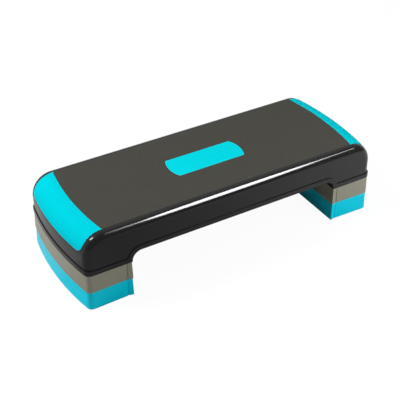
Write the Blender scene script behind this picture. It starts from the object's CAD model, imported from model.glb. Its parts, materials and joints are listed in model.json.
import json
import math

import bpy
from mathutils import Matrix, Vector

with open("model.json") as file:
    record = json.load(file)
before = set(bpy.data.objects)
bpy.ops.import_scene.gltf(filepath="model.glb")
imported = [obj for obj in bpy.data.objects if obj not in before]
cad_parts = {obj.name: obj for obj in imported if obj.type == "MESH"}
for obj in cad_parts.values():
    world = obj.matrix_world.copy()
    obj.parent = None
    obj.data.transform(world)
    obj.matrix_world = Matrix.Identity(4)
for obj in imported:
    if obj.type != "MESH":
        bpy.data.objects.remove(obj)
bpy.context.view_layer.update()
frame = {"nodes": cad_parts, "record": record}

# Camera, fitted to the corners and edges of the step in the photograph. Metres and degrees.
CAMERA_PLACE = (-1.0216, -1.6938, 1.4663)
CAMERA_AZIMUTH = -30.761
CAMERA_ELEVATION = 35.194
CAMERA_LENS_MM = 88.15
SENSOR_MM = 36.0

# Moulded grain: how soft its pebbles are, and the finer noise over them: its scale as a multiple of
# the pebbles' own, and its share in the height.
PEBBLE_SMOOTHNESS = 0.6
FINE_SCALE_RATIO = 2.7
FINE_DETAIL = 3.0
FINE_SHARE = 0.4

# Rubs are thin streaks that run three ways, in patches. Radians and metres. The pairs are the values of
# noise at which a line or a patch starts, and at which it is full.
RUB_TURNS = [(0.3, 0.2, 0.15), (-0.4, 0.6, -0.7), (0.2, -1.1, 0.9)]
RUB_LENGTH = 0.05
RUB_WIDTH = 0.0005
RUB_STREAKS = {"Scale": 1.0, "Detail": 1.0}
RUB_LINE_LIMITS = (0.69, 0.76)
RUB_PATCHES = {"Scale": 8.0, "Detail": 3.0}
RUB_PATCH_LIMITS = (0.42, 0.68)

# Worn edges: how far wear reaches from an edge in metres, the cosines of the turn between which it sets in,
# and the noise that breaks it up.
EDGE_REACH = 0.0015
EDGE_SAMPLES = 6
EDGE_TURN_LIMITS = (0.995, 0.9)
EDGE_BREAKS = {"Scale": 90.0, "Detail": 5.0, "Roughness": 0.7}
EDGE_BREAK_LIMITS = (0.35, 0.65)

# What smudges, rubs and worn edges add to roughness.
SMUDGES = {"Scale": 14.0, "Detail": 5.0, "Roughness": 0.65}
SMUDGE_DULLING = 0.05
RUB_DULLING = 0.2
EDGE_DULLING = 0.25

# Broad patches in the pigment, and how far worn plastic is paler: lifted, then hazed.
PIGMENT_PATCHES = {"Scale": 9.0, "Detail": 4.0}
WORN_LIFT = 1.25
WORN_HAZE = 0.03

# The finishes: linear RGB, gloss, pebbles per metre and their depth in metres, and whatever differs from
# the usual shares of uneven pigment, speckle, rubs and worn edges.
LOOKS = {
    "deck_black": dict(colour=(0.012, 0.012, 0.012), roughness=0.12, specular=0.5, pebbles=350,
                       depth=0.00001, uneven=0.1, rubs=0.5),
    "mat_grey": dict(colour=(0.0605, 0.059, 0.049), roughness=0.8, specular=0.15, pebbles=650,
                     depth=0.0002, speckle=0.12, rubs=0.15, worn=0.2),
    "grip_turquoise": dict(colour=(0.0, 0.605, 0.7), roughness=0.7, specular=0.02, pebbles=800,
                           depth=0.00003, rubs=0.1, worn=0.15),
    "badge_turquoise": dict(colour=(0.0, 0.69, 0.78), roughness=0.6, specular=0.03, pebbles=1200,
                            depth=0.00002, rubs=0.2, worn=0.2),
    "riser_grey": dict(colour=(0.318, 0.307, 0.235), roughness=0.25, specular=0.5, pebbles=900,
                       depth=0.00004),
    "riser_turquoise": dict(colour=(0.0, 0.755, 0.97), roughness=0.25, specular=0.15, pebbles=900,
                            depth=0.00004, rubs=0.15, worn=0.2),
    "foot_rubber": dict(colour=(0.02, 0.02, 0.02), roughness=0.8, specular=0.3, pebbles=900,
                        depth=0.00006, speckle=0.1, worn=0.4),
}

# The floor: half its width in metres, its matt tone, and how far the camera sees through it.
FLOOR_REACH = 12.0
FLOOR_GREY = (0.45, 0.45, 0.45, 1.0)
FLOOR_CLEAR_SHARE = 0.85
# The floor's tone in gloss: along X before the step, along Y beside its left end, and the stretch of X over
# which the second takes the place of the first. Metres and tones.
GLOSS_FLOOR_TONES = [(-0.8, 0.6), (-0.56, 0.5), (-0.45, 0.4), (-0.22, 0.27),
                     (0.08, 0.4), (0.48, 0.75), (0.8, 0.8)]
GLOSS_LEFT_TONES = [(-0.3, 0.34), (-0.12, 0.28), (-0.02, 0.31), (0.012, 0.48), (0.2, 0.5), (0.34, 0.57)]
GLOSS_LEFT_LIMITS = (-0.38, -0.3)
# In gloss the floor under the step is in its shadow: how dark that is, and where it ends to each side.
GLOSS_SHADE = 0.12
GLOSS_SHADE_LIMITS = {"X": (0.28, 0.38), "Y": (0.12, 0.24)}

# The backdrop: how white it is to the camera, and its tone in gloss, dim in front of the step and bright
# behind it, by the Y of the direction.
WHITE = (1.0, 1.0, 1.0, 1.0)
BACKDROP_WHITE = 1.12
GLOSS_SKY_FRONT = 0.15
GLOSS_SKY_BACK = 0.52
GLOSS_SKY_LIMITS = (-0.3, 0.5)
# The matt light of the sky comes from overhead, by the Z of the direction; there is none at the horizon.
SKY_STRENGTH = 0.36
SKY_HEIGHT_LIMITS = (0.2, 0.8)

# Lamps: metres and watts. The key, front and right ones light matt surfaces. The others show only in gloss:
# the glint on the near left corner, and the highlight along the front edge with a glow round it.
LAMPS = {
    "key_softbox": dict(place=(-1.94, 1.04, 2.5), target=(0, 0, 0.1), size=(1.2, 1.2), power=91,
                        gloss=False),
    "corner_glint": dict(place=(-2.08, 0.48, 2.55), target=(-0.39, -0.13, 0.18), size=(0.45, 0.8), power=26,
                         diffuse=False),
    "front_softbox": dict(place=(0.2, -2.0, 0.9), target=(0, 0, 0.1), size=(1.4, 1.0), power=6.7,
                          gloss=False),
    "right_softbox": dict(place=(0.9, -0.8, 0.5), target=(0.3, -0.1, 0.05), size=(0.4, 0.4), power=4.8,
                          gloss=False),
    "edge_strip": dict(place=(0.81, -0.74, 1.55), target=(0.81, -0.15, 0.19), size=(1.3, 0.22), power=11,
                       diffuse=False, shape="ELLIPSE"),
    "edge_glow": dict(place=(0.76, -0.86, 1.55), target=(0.76, -0.15, 0.19), size=(0.8, 1.1), power=50,
                      diffuse=False, shape="ELLIPSE"),
}


class Nodes:
    """Adds nodes to a tree. An input is a value or the socket that feeds it, by its place or by its name."""

    def __init__(self, tree):
        self.tree = tree

    def feed(self, value, socket):
        """Give a socket its value, or link it to the socket that has it."""
        if isinstance(value, bpy.types.NodeSocket):
            self.tree.links.new(value, socket)
        else:
            socket.default_value = value

    def add(self, kind, *by_place, settings=None, **by_name):
        """A new node. In the names of its inputs underscores stand for spaces."""
        made = self.tree.nodes.new(kind)
        for name, value in (settings or {}).items():
            setattr(made, name, value)
        for number, value in enumerate(by_place):
            self.feed(value, made.inputs[number])
        for name, value in by_name.items():
            self.feed(value, made.inputs[name.replace("_", " ")])
        return made

    def group(self, tree, **by_name):
        """The outputs of a shared node group."""
        return self.add("ShaderNodeGroup", settings={"node_tree": tree}, **by_name).outputs

    def maths(self, operation, *values):
        """What an operation makes of values."""
        return self.add("ShaderNodeMath", *values, settings={"operation": operation}).outputs[0]

    def soft_step(self, value, limits, low=0.0, high=1.0):
        """A soft step from low to high, as a value passes from the first limit to the second."""
        step = self.add("ShaderNodeMapRange", settings={"interpolation_type": "SMOOTHSTEP"}, Value=value,
                        From_Min=limits[0], From_Max=limits[1], To_Min=low, To_Max=high)
        return step.outputs["Result"]

    def swing(self, value):
        """A value from 0 to 1 spread over -1 to 1."""
        return self.add("ShaderNodeMapRange", Value=value, To_Min=-1.0).outputs["Result"]

    def place(self):
        """Where a point lies, in its object's own metres."""
        return self.add("ShaderNodeTexCoord").outputs["Object"]

    def noise(self, place, looks):
        """Noise from 0 to 1."""
        return self.add("ShaderNodeTexNoise", Vector=place, **looks).outputs["Fac"]

    def mix_floats(self, share, first, second):
        """A blend of two values."""
        mix = self.add("ShaderNodeMix", settings={"data_type": "FLOAT"}, Factor=share, A=first, B=second)
        return mix.outputs["Result"]

    def mix_vectors(self, share, first, second):
        """A blend of two colours, taken as vectors."""
        mix = self.add("ShaderNodeMix", settings={"data_type": "VECTOR"}, Factor=share)
        entries = {socket.identifier: socket for socket in mix.inputs}
        self.feed(first, entries["A_Vector"])
        self.feed(second, entries["B_Vector"])
        return {socket.identifier: socket for socket in mix.outputs}["Result_Vector"]

    def mix_shaders(self, share, first, second):
        """A blend of two shaders."""
        return self.add("ShaderNodeMixShader", share, first, second).outputs["Shader"]


def emptied(owner):
    """The nodes of a material or a world, with nothing in them yet."""
    owner.use_nodes = True
    owner.node_tree.nodes.clear()
    return Nodes(owner.node_tree)


def new_group(name, inputs, outputs):
    """An empty shader node group with named sockets: (group, its nodes, its inputs, its outputs)."""
    group = bpy.data.node_groups.new(name, "ShaderNodeTree")
    for way, labels in (("INPUT", inputs), ("OUTPUT", outputs)):
        for label in labels:
            kind = "NodeSocketColor" if label == "Color" else "NodeSocketFloat"
            group.interface.new_socket(label, in_out=way, socket_type=kind)
    entry = group.nodes.new("NodeGroupInput")
    way_out = group.nodes.new("NodeGroupOutput")
    return group, Nodes(group), entry.outputs, way_out.inputs


def moulded_grain():
    """Fine moulded grain: small pebbles with finer noise over them, put out as a height."""
    group, nodes, given, result = new_group("moulded_grain", ["Pebbles per metre"], ["Height"])
    place = nodes.place()
    pebbles = nodes.add("ShaderNodeTexVoronoi", settings={"feature": "SMOOTH_F1"}, Vector=place,
                        Scale=given["Pebbles per metre"], Smoothness=PEBBLE_SMOOTHNESS)
    finer = nodes.maths("MULTIPLY", given["Pebbles per metre"], FINE_SCALE_RATIO)
    fine = nodes.noise(place, {"Scale": finer, "Detail": FINE_DETAIL})
    nodes.feed(nodes.mix_floats(FINE_SHARE, pebbles.outputs["Distance"], fine), result["Height"])
    return group


def rub_marks():
    """Hairline rubs: noise drawn out into thin streaks that run several ways, in patches, as a mask."""
    group, nodes, given, result = new_group("rub_marks", ["Amount"], ["Mask"])
    place = nodes.place()
    strongest = 0.0
    for turn in RUB_TURNS:
        along = nodes.add("ShaderNodeMapping", settings={"vector_type": "TEXTURE"}, Vector=place,
                          Rotation=turn, Scale=(RUB_LENGTH, RUB_WIDTH, RUB_WIDTH))
        streak = nodes.noise(along.outputs["Vector"], RUB_STREAKS)
        strongest = nodes.maths("MAXIMUM", strongest, streak)
    lines = nodes.soft_step(strongest, RUB_LINE_LIMITS)
    patches = nodes.soft_step(nodes.noise(place, RUB_PATCHES), RUB_PATCH_LIMITS, high=given["Amount"])
    nodes.feed(nodes.maths("MULTIPLY", lines, patches), result["Mask"])
    return group


def worn_edges():
    """Handled edges: where the surface turns within a short way, broken up by noise, as a mask."""
    group, nodes, given, result = new_group("worn_edges", ["Amount"], ["Mask"])
    rounded = nodes.add("ShaderNodeBevel", settings={"samples": EDGE_SAMPLES}, Radius=EDGE_REACH)
    plain = nodes.add("ShaderNodeNewGeometry")
    turn = nodes.add("ShaderNodeVectorMath", rounded.outputs["Normal"], plain.outputs["Normal"],
                     settings={"operation": "DOT_PRODUCT"})
    edge = nodes.soft_step(turn.outputs["Value"], EDGE_TURN_LIMITS)
    breaks = nodes.noise(nodes.place(), EDGE_BREAKS)
    rubbed = nodes.soft_step(breaks, EDGE_BREAK_LIMITS, high=given["Amount"])
    nodes.feed(nodes.maths("MULTIPLY", edge, rubbed), result["Mask"])
    return group


def handled_gloss():
    """Roughness that drifts over hand-sized smudges, and rises at rubs and worn edges."""
    group, nodes, given, result = new_group("handled_gloss", ["Roughness", "Rubs", "Edges"], ["Roughness"])
    smudges = nodes.swing(nodes.noise(nodes.place(), SMUDGES))
    level = given["Roughness"]
    for cause, weight in ((smudges, SMUDGE_DULLING), (given["Rubs"], RUB_DULLING),
                          (given["Edges"], EDGE_DULLING)):
        level = nodes.maths("MULTIPLY_ADD", cause, weight, level)
    nodes.feed(level, result["Roughness"])
    return group


def pigment_drift():
    """Uneven pigment: soft broad patches, granules of slightly different tone, and paler rubs and edges."""
    group, nodes, given, result = new_group(
        "pigment_drift", ["Color", "Uneven", "Speckle", "Pebbles per metre", "Wear"], ["Color"])
    place = nodes.place()
    patches = nodes.noise(place, PIGMENT_PATCHES)
    granules = nodes.add("ShaderNodeTexVoronoi", settings={"feature": "F1"}, Vector=place,
                         Scale=given["Pebbles per metre"])
    tone = nodes.add("ShaderNodeSeparateColor", Color=granules.outputs["Color"]).outputs["Red"]
    level = 1.0
    for cause, weight in ((patches, given["Uneven"]), (tone, given["Speckle"])):
        level = nodes.maths("MULTIPLY_ADD", nodes.swing(cause), weight, level)
    shade = nodes.add("ShaderNodeVectorMath", given["Color"], settings={"operation": "SCALE"}, Scale=level)
    paler = nodes.add("ShaderNodeVectorMath", given["Color"], [WORN_LIFT] * 3, [WORN_HAZE] * 3,
                      settings={"operation": "MULTIPLY_ADD"})
    worn = nodes.mix_vectors(given["Wear"], shade.outputs["Vector"], paler.outputs["Vector"])
    nodes.feed(worn, result["Color"])
    return group


GRAIN = moulded_grain()
RUBS = rub_marks()
EDGES = worn_edges()
GLOSS = handled_gloss()
PIGMENT = pigment_drift()


def finish(name, colour, roughness, specular, pebbles, depth, uneven=0.04, speckle=0.03, rubs=0.3, worn=0.3):
    """A moulded finish: uneven pigment, rubbed and smudged gloss, worn edges and grain."""
    material = bpy.data.materials.new(name)
    nodes = emptied(material)
    rubbed = nodes.group(RUBS, Amount=rubs)["Mask"]
    edges = nodes.group(EDGES, Amount=worn)["Mask"]
    pigment = nodes.group(PIGMENT, Color=(*colour, 1.0), Uneven=uneven, Speckle=speckle,
                          Pebbles_per_metre=pebbles, Wear=nodes.maths("MAXIMUM", rubbed, edges))
    gloss = nodes.group(GLOSS, Roughness=roughness, Rubs=rubbed, Edges=edges)
    grain = nodes.group(GRAIN, Pebbles_per_metre=pebbles)
    bump = nodes.add("ShaderNodeBump", Height=grain["Height"], Distance=depth, Strength=1.0)
    shader = nodes.add("ShaderNodeBsdfPrincipled", Base_Color=pigment["Color"],
                       Roughness=gloss["Roughness"], Specular_IOR_Level=specular,
                       Normal=bump.outputs["Normal"])
    nodes.add("ShaderNodeOutputMaterial", Surface=shader.outputs["BSDF"])
    return material


FINISHES = {name: finish(name, **look) for name, look in LOOKS.items()}

for piece in frame["record"]["subparts"]:
    mesh = frame["nodes"][piece["node"]].data
    mesh.materials.clear()
    mesh.materials.append(FINISHES[piece["material_slot"]])


def tone_sweep(nodes, coordinate, tones):
    """A tone that follows a coordinate through given places."""
    low, high = tones[0][0], tones[-1][0]
    share = nodes.add("ShaderNodeMapRange", Value=coordinate, From_Min=low, From_Max=high)
    sweep = nodes.add("ShaderNodeValToRGB", Fac=share.outputs["Result"])
    marks = sweep.color_ramp.elements
    for place, _ in tones[1:-1]:
        marks.new((place - low) / (high - low))
    for mark, (place, tone) in zip(marks, tones):
        mark.position = (place - low) / (high - low)
        mark.color = (tone, tone, tone, 1.0)
    return sweep.outputs["Color"]


def floor_gloss(nodes):
    """The floor's tone in gloss: sweeps of light and dark, and shade under the step."""
    place = nodes.add("ShaderNodeSeparateXYZ", Vector=nodes.place()).outputs
    at_left = nodes.soft_step(place["X"], GLOSS_LEFT_LIMITS, low=1.0, high=0.0)
    tone = nodes.mix_floats(at_left, tone_sweep(nodes, place["X"], GLOSS_FLOOR_TONES),
                            tone_sweep(nodes, place["Y"], GLOSS_LEFT_TONES))
    beside = [nodes.soft_step(nodes.maths("ABSOLUTE", place[axis]), limits, low=GLOSS_SHADE)
              for axis, limits in GLOSS_SHADE_LIMITS.items()]
    return nodes.maths("MULTIPLY", tone, nodes.maths("MAXIMUM", *beside))


def floor_material():
    """Pale floor: a faint shadow over the white backdrop to the camera, and sweeps of tone in gloss.

    The camera sees through most of it and the lamps through all of it, so risers pulled below it show.
    From below it is not there at all, so the underside shows, and it takes no light from pulled risers.
    """
    material = bpy.data.materials.new("studio_floor")
    nodes = emptied(material)
    seen = nodes.add("ShaderNodeLightPath").outputs
    from_below = nodes.add("ShaderNodeNewGeometry").outputs["Backfacing"]
    direct = nodes.maths("MAXIMUM", seen["Is Camera Ray"], seen["Is Transmission Ray"])
    mostly = nodes.maths("MULTIPLY", direct, FLOOR_CLEAR_SHARE)
    wholly = nodes.maths("MAXIMUM", seen["Is Shadow Ray"], from_below)
    matt = nodes.add("ShaderNodeBsdfDiffuse", Color=FLOOR_GREY).outputs["BSDF"]
    through = nodes.add("ShaderNodeBsdfTransparent", Color=WHITE).outputs["BSDF"]
    plain = nodes.mix_shaders(nodes.maths("MAXIMUM", mostly, wholly), matt, through)
    gloss = nodes.add("ShaderNodeEmission", Color=WHITE, Strength=floor_gloss(nodes)).outputs["Emission"]
    mirrored = nodes.maths("GREATER_THAN", seen["Is Glossy Ray"], from_below)
    nodes.add("ShaderNodeOutputMaterial", Surface=nodes.mix_shaders(mirrored, plain, gloss))
    return material


def backdrop():
    """A sky that lights from above, is white to the camera, and in gloss brightens from front to back."""
    world = bpy.data.worlds.new("backdrop")
    nodes = emptied(world)
    seen = nodes.add("ShaderNodeLightPath").outputs
    towards = nodes.add("ShaderNodeTexCoord").outputs["Generated"]
    aim = nodes.add("ShaderNodeSeparateXYZ", Vector=towards).outputs
    overhead = nodes.soft_step(aim["Z"], SKY_HEIGHT_LIMITS, high=SKY_STRENGTH)
    sweep = nodes.soft_step(aim["Y"], GLOSS_SKY_LIMITS, low=GLOSS_SKY_FRONT, high=GLOSS_SKY_BACK)
    above_floor = nodes.maths("GREATER_THAN", aim["Z"], 0.0)
    mirrored = nodes.maths("MULTIPLY", sweep, above_floor)
    sky, gloss, white = [
        nodes.add("ShaderNodeBackground", Color=WHITE, Strength=strength).outputs["Background"]
        for strength in (overhead, mirrored, BACKDROP_WHITE)]
    lighting = nodes.mix_shaders(seen["Is Glossy Ray"], sky, gloss)
    nodes.add("ShaderNodeOutputWorld", Surface=nodes.mix_shaders(seen["Is Camera Ray"], lighting, white))
    return world


def softbox(name, place, target, size, power, diffuse=True, gloss=True, shape="RECTANGLE"):
    """An area lamp that faces a target, seen by matt surfaces, by gloss or by both."""
    lamp = bpy.data.lights.new(name, "AREA")
    lamp.shape = shape
    lamp.size, lamp.size_y = size
    lamp.energy = power
    box = bpy.data.objects.new(name, lamp)
    bpy.context.scene.collection.objects.link(box)
    box.location = place
    box.rotation_euler = (Vector(target) - Vector(place)).to_track_quat("-Z", "Y").to_euler()
    box.visible_diffuse = diffuse
    box.visible_glossy = gloss


def studio():
    """The floor, the backdrop and the lamps."""
    mesh = bpy.data.meshes.new("studio_floor")
    corners = [(-FLOOR_REACH, -FLOOR_REACH, 0), (FLOOR_REACH, -FLOOR_REACH, 0),
               (FLOOR_REACH, FLOOR_REACH, 0), (-FLOOR_REACH, FLOOR_REACH, 0)]
    mesh.from_pydata(corners, [], [(0, 1, 2, 3)])
    mesh.materials.append(floor_material())
    floor = bpy.data.objects.new("studio_floor", mesh)
    bpy.context.scene.collection.objects.link(floor)
    bpy.context.scene.world = backdrop()
    for name, lamp in LAMPS.items():
        softbox(name, **lamp)


def direction(azimuth, elevation):
    """Unit vector from the object towards a viewer; azimuth 0 stands in front, at -Y."""
    a = math.radians(azimuth)
    e = math.radians(elevation)
    return Vector((math.sin(a) * math.cos(e), -math.cos(a) * math.cos(e), math.sin(e)))


def camera():
    """The photograph's camera."""
    lens = bpy.data.cameras.new("photo_camera")
    lens.sensor_width = SENSOR_MM
    lens.lens = CAMERA_LENS_MM
    holder = bpy.data.objects.new("photo_camera", lens)
    bpy.context.scene.collection.objects.link(holder)
    holder.location = CAMERA_PLACE
    looking = -direction(CAMERA_AZIMUTH, CAMERA_ELEVATION)
    holder.rotation_euler = looking.to_track_quat("-Z", "Y").to_euler()
    bpy.context.scene.camera = holder


studio()
camera()
bpy.context.scene.view_settings.view_transform = "Standard"
